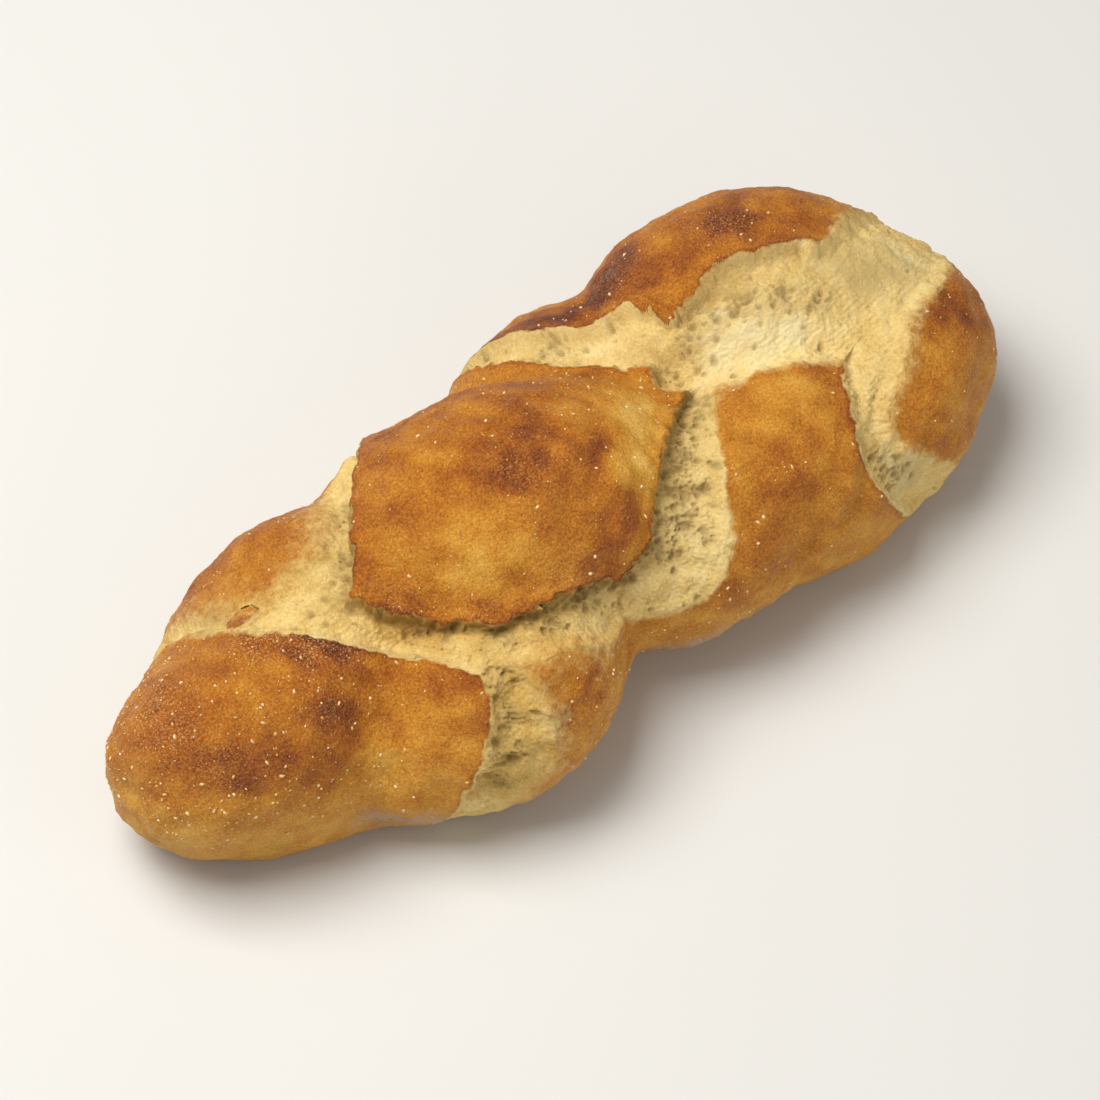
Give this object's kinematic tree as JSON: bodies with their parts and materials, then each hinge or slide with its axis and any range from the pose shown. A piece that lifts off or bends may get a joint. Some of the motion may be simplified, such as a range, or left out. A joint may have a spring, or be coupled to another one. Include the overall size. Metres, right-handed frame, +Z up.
{
  "type": "braided loaf",
  "caption": "Long braided white loaf with golden-brown crust over swollen strands and pale torn crumb between them, resting on a flat base.",
  "frame": {"origin": "bottom centre of the loaf's bounding box, on the surface it stands on", "axes": "+X along the loaf towards its broad end, +Y towards its back, +Z up"},
  "size_m": [0.2918, 0.1226, 0.0829],
  "materials": {
    "crust": "matt golden-brown bread crust with pale torn crumb between the strands"
  },
  "bodies": {
    "root": {"loaf": "crust"}
  },
  "joints": []
}
